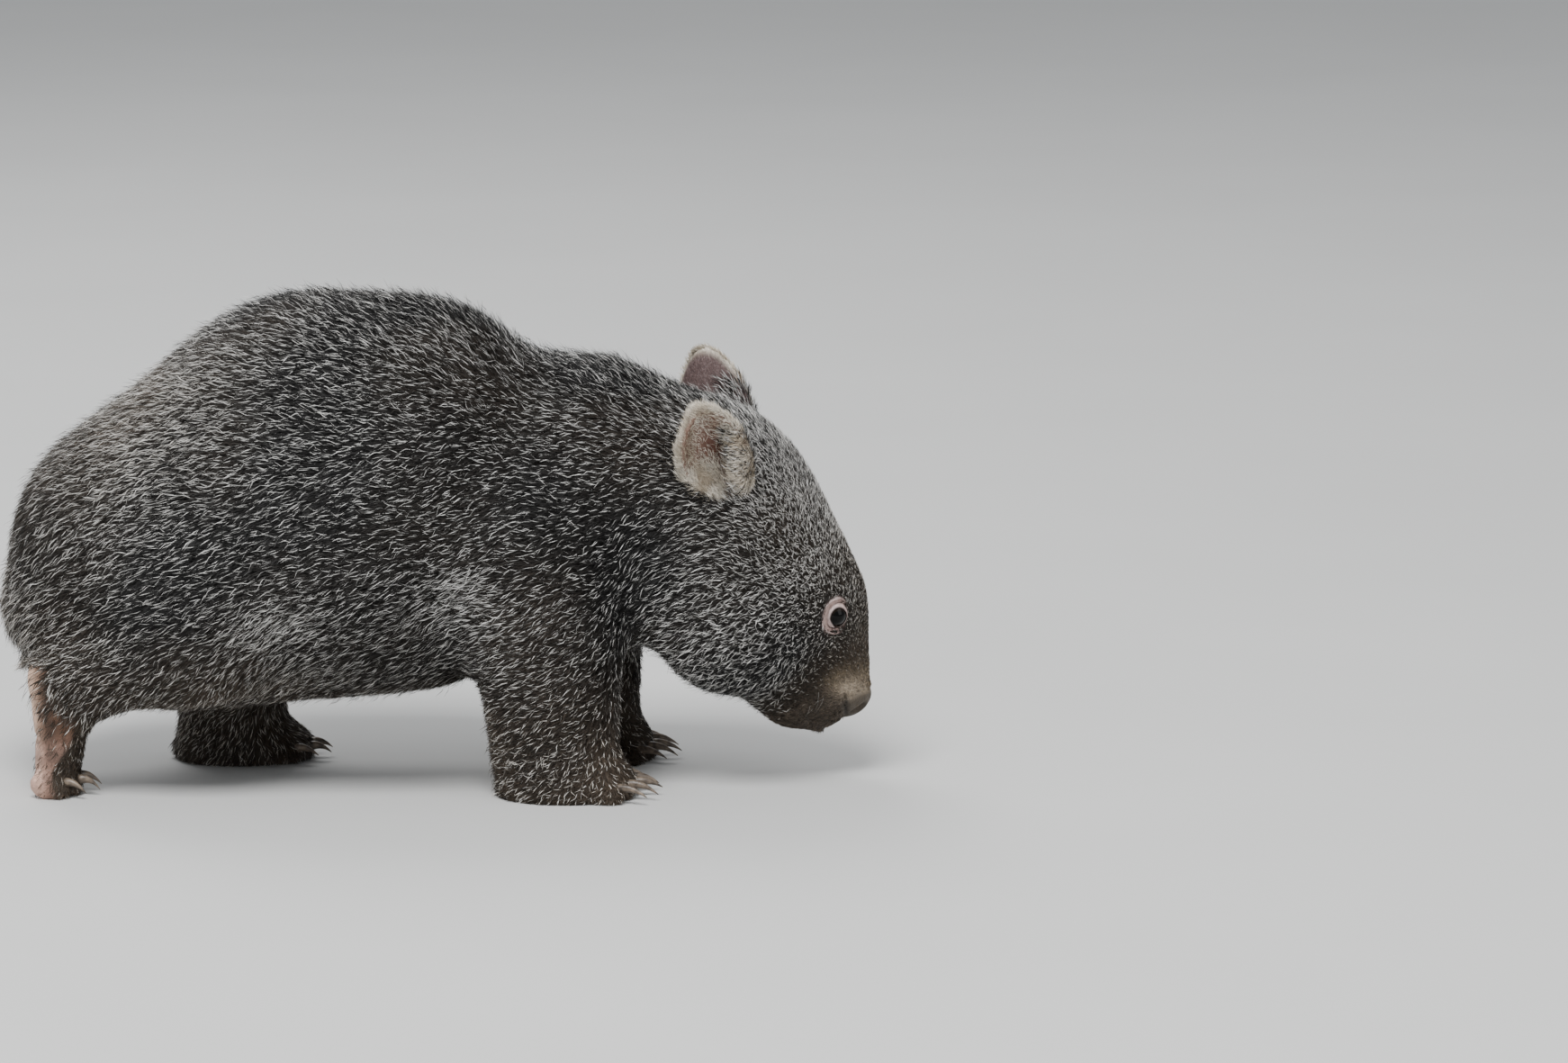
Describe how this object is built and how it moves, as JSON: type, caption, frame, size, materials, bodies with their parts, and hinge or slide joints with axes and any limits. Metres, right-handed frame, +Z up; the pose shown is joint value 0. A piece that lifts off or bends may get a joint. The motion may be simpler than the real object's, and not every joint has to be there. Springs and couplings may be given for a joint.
{
  "type": "wombat",
  "caption": "Life-size still model of a young wombat with a grizzled dark coat, walking with its head lowered to graze.",
  "frame": {"origin": "middle of the bounding box at the floor, on the level of the soles", "axes": "+X towards the nose, +Y to the animal's left, +Z up"},
  "size_m": [0.6264, 0.239, 0.3539],
  "materials": {
    "coat": "short dense coat, brown-black grizzled with pale tips",
    "feet": "very short brown-black hair, bare leathery soles",
    "ears": "thin skin with a short tan down, pale rim",
    "nose": "bare granular skin",
    "eyes": "moist and glossy",
    "claws": "worn horn"
  },
  "bodies": {
    "root": {"belly": "coat", "chest": "coat", "ear_left": "ears", "ear_right": "ears", "eye_left": "eyes", "eye_right": "eyes", "foreclaw_left_1": "claws", "foreclaw_left_2": "claws", "foreclaw_left_3": "claws", "foreclaw_left_4": "claws", "foreclaw_left_5": "claws", "foreclaw_right_1": "claws", "foreclaw_right_2": "claws", "foreclaw_right_3": "claws", "foreclaw_right_4": "claws", "foreclaw_right_5": "claws", "forefoot_left": "feet", "forefoot_right": "feet", "foreleg_left": "coat", "foreleg_right": "coat", "head": "coat", "hindclaw_left_1": "claws", "hindclaw_left_2": "claws", "hindclaw_left_3": "claws", "hindclaw_left_4": "claws", "hindclaw_right_1": "claws", "hindclaw_right_2": "claws", "hindclaw_right_3": "claws", "hindclaw_right_4": "claws", "hindfoot_left": "feet", "hindfoot_right": "feet", "hindleg_left": "coat", "hindleg_right": "coat", "neck": "coat", "nose": "nose", "rump": "coat", "tail": "coat"}
  },
  "joints": []
}
